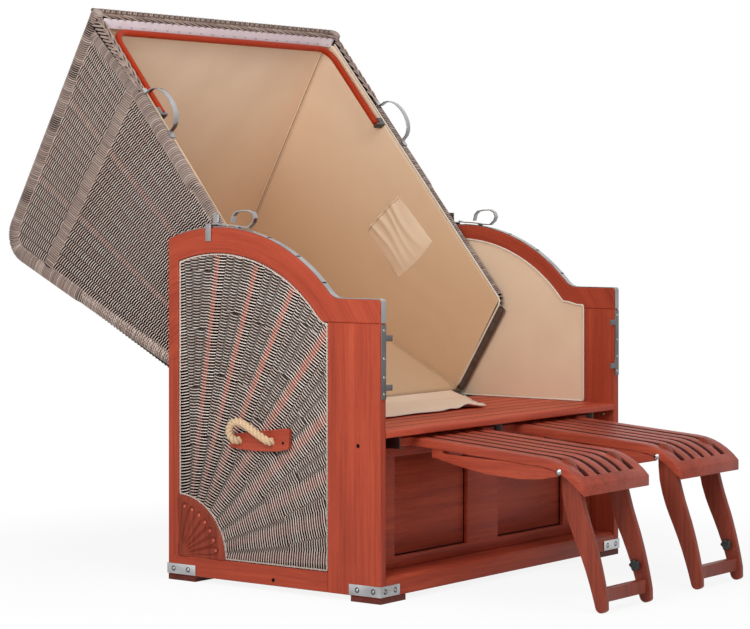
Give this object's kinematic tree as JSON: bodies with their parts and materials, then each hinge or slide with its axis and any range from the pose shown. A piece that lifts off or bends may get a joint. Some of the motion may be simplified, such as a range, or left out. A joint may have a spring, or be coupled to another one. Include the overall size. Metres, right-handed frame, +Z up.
{
  "type": "hooded beach chair",
  "caption": "Two-seat hooded beach chair: wooden base with arched wicker cheeks, tilting cloth-lined wicker hood and pull-out slatted footrests with folding legs.",
  "frame": {"origin": "bottom centre of the whole chair's bounding box, on the floor", "axes": "+X across the seat, +Y from the footrests towards the hood's back, +Z up"},
  "size_m": [1.309, 1.9814, 1.6287],
  "materials": {
    "wood": "satin",
    "dark_wood": "satin",
    "hood_wicker": "matte",
    "cheek_wicker": "matte",
    "cloth": "matte",
    "steel": "satin",
    "rope": "matte",
    "bow_paint": "satin",
    "black_plastic": "matte"
  },
  "bodies": {
    "base": {"seat_board": "wood", "box_front_frame": "wood", "box_front_panel": "dark_wood", "plinth_rail": "wood", "box_back_board": "wood", "guide_rail_middle": "steel", "pivot_rod": "steel", "seat_flap": "cloth", "cheek_frame_left": "wood", "front_post_left": "wood", "cheek_weave_left": "cheek_wicker", "carved_fan_left": "wood", "cheek_lining_left": "cloth", "arch_strip_left": "steel", "hook_plate_left": "steel", "rope_plate_left": "wood", "rope_handle_left": "rope", "foot_front_left": "dark_wood", "foot_back_left": "dark_wood", "corner_bracket_front_left": "steel", "corner_bracket_back_left": "steel", "guide_rail_left": "steel", "cheek_frame_right": "wood", "front_post_right": "wood", "cheek_weave_right": "cheek_wicker", "carved_fan_right": "wood", "cheek_lining_right": "cloth", "arch_strip_right": "steel", "hook_plate_right": "steel", "rope_plate_right": "wood", "rope_handle_right": "rope", "foot_front_right": "dark_wood", "foot_back_right": "dark_wood", "corner_bracket_front_right": "steel", "corner_bracket_back_right": "steel", "guide_rail_right": "steel"},
    "hood": {"hood_roof": "hood_wicker", "hood_back": "hood_wicker", "hood_lining": "cloth", "lining_pocket": "cloth", "hood_side_left": "hood_wicker", "bow_bracket_left": "steel", "grab_handle_left": "steel", "lever_bracket_left": "steel", "hood_side_right": "hood_wicker", "bow_bracket_right": "steel", "grab_handle_right": "steel", "lever_bracket_right": "steel"},
    "bow": {"awning_bow": "bow_paint"},
    "lever_left": {"lock_lever_left": "steel"},
    "footrest_left": {"footrest_slats_left": "wood", "footrest_apron_left": "wood"},
    "legs_left": {"footrest_legs_left": "wood"},
    "knob_left": {"leg_knob_left": "black_plastic"},
    "lever_right": {"lock_lever_right": "steel"},
    "footrest_right": {"footrest_slats_right": "wood", "footrest_apron_right": "wood"},
    "legs_right": {"footrest_legs_right": "wood"},
    "knob_right": {"leg_knob_right": "black_plastic"}
  },
  "joints": [
    {"name": "hood_tilt", "type": "hinge", "parent": "base", "child": "hood", "pos_m": [0, 0.1295, 0.465], "axis": [1, 0, 0], "range_deg": [-24.6, 36.9]},
    {"name": "bow_swing", "type": "hinge", "parent": "hood", "child": "bow", "pos_m": [0, 0.42376, 1.32788], "axis": [1, 0, 0], "range_deg": [0, 95]},
    {"name": "lever_lift_left", "type": "hinge", "parent": "hood", "child": "lever_left", "pos_m": [-0.587, 0.1425, 1.0085], "axis": [-1, 0, 0], "range_deg": [0, 35]},
    {"name": "footrest_slide_left", "type": "slide", "parent": "base", "child": "footrest_left", "axis": [0, 1, 0], "range_m": [0, 0.1]},
    {"name": "leg_fold_left", "type": "hinge", "parent": "footrest_left", "child": "legs_left", "pos_m": [-0.2475, -0.8765, 0.364], "axis": [1, 0, 0], "range_deg": [0, 95]},
    {"name": "knob_turn_left", "type": "hinge", "parent": "legs_left", "child": "knob_left", "pos_m": [-0.1459, -0.9535, 0.1], "axis": [1, 0, 0], "continuous": true},
    {"name": "lever_lift_right", "type": "hinge", "parent": "hood", "child": "lever_right", "pos_m": [0.587, 0.1425, 1.0085], "axis": [-1, 0, 0], "range_deg": [0, 35]},
    {"name": "footrest_slide_right", "type": "slide", "parent": "base", "child": "footrest_right", "axis": [0, 1, 0], "range_m": [0, 0.1]},
    {"name": "leg_fold_right", "type": "hinge", "parent": "footrest_right", "child": "legs_right", "pos_m": [0.2475, -0.8765, 0.364], "axis": [1, 0, 0], "range_deg": [0, 95]},
    {"name": "knob_turn_right", "type": "hinge", "parent": "legs_right", "child": "knob_right", "pos_m": [0.3491, -0.9535, 0.1], "axis": [1, 0, 0], "continuous": true}
  ]
}
